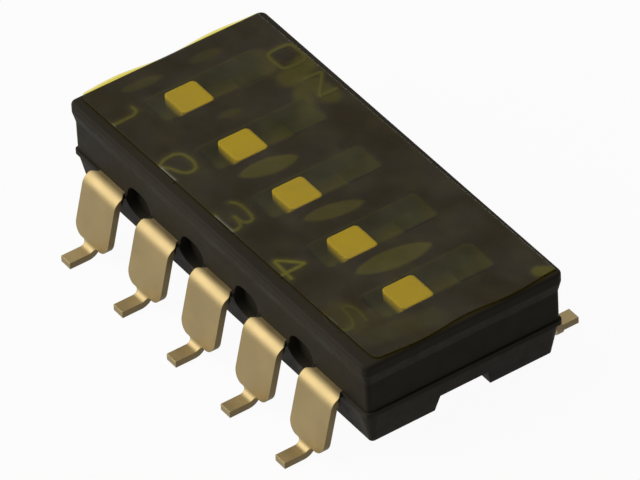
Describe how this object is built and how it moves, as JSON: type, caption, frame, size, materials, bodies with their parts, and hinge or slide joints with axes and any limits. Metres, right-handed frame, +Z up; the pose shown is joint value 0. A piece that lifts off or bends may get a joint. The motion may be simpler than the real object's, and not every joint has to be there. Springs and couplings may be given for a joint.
{
  "type": "dip switch",
  "caption": "Surface-mount slide DIP switch: black moulded housing, recessed white sliders under an amber sealing film, and a row of gull-wing terminals on each long side.",
  "frame": {"origin": "on the board, in the plane of the terminal feet, under the middle of the housing", "axes": "+X along the row from position 1 to the last position, +Y from the OFF side to the ON side, +Z up from the board"},
  "size_m": [0.0138, 0.0096, 0.0038],
  "materials": {
    "base_plastic": "black glass-filled moulding, slightly satin",
    "cover_plastic": "black glass-filled moulding, slightly satin",
    "film": "thin amber film, clear and glossy",
    "slider_plastic": "natural white moulding",
    "terminal_metal": "satin gold-coloured plating on copper alloy",
    "wiper_metal": "gold plating on spring copper alloy"
  },
  "bodies": {
    "housing": {"base": "base_plastic", "cover": "cover_plastic", "film_seal": "film", "terminal_01": "terminal_metal", "terminal_02": "terminal_metal", "terminal_03": "terminal_metal", "terminal_04": "terminal_metal", "terminal_05": "terminal_metal", "terminal_06": "terminal_metal", "terminal_07": "terminal_metal", "terminal_08": "terminal_metal", "terminal_09": "terminal_metal", "terminal_10": "terminal_metal"},
    "slider_1": {"actuator_1": "slider_plastic", "wiper_1": "wiper_metal"},
    "slider_2": {"actuator_2": "slider_plastic", "wiper_2": "wiper_metal"},
    "slider_3": {"actuator_3": "slider_plastic", "wiper_3": "wiper_metal"},
    "slider_4": {"actuator_4": "slider_plastic", "wiper_4": "wiper_metal"},
    "slider_5": {"actuator_5": "slider_plastic", "wiper_5": "wiper_metal"}
  },
  "joints": [
    {"name": "slide_1", "type": "slide", "parent": "housing", "child": "slider_1", "axis": [0, 1, 0], "range_m": [0, 0.00125]},
    {"name": "slide_2", "type": "slide", "parent": "housing", "child": "slider_2", "axis": [0, 1, 0], "range_m": [0, 0.00125]},
    {"name": "slide_3", "type": "slide", "parent": "housing", "child": "slider_3", "axis": [0, 1, 0], "range_m": [0, 0.00125]},
    {"name": "slide_4", "type": "slide", "parent": "housing", "child": "slider_4", "axis": [0, 1, 0], "range_m": [0, 0.00125]},
    {"name": "slide_5", "type": "slide", "parent": "housing", "child": "slider_5", "axis": [0, 1, 0], "range_m": [0, 0.00125]}
  ]
}
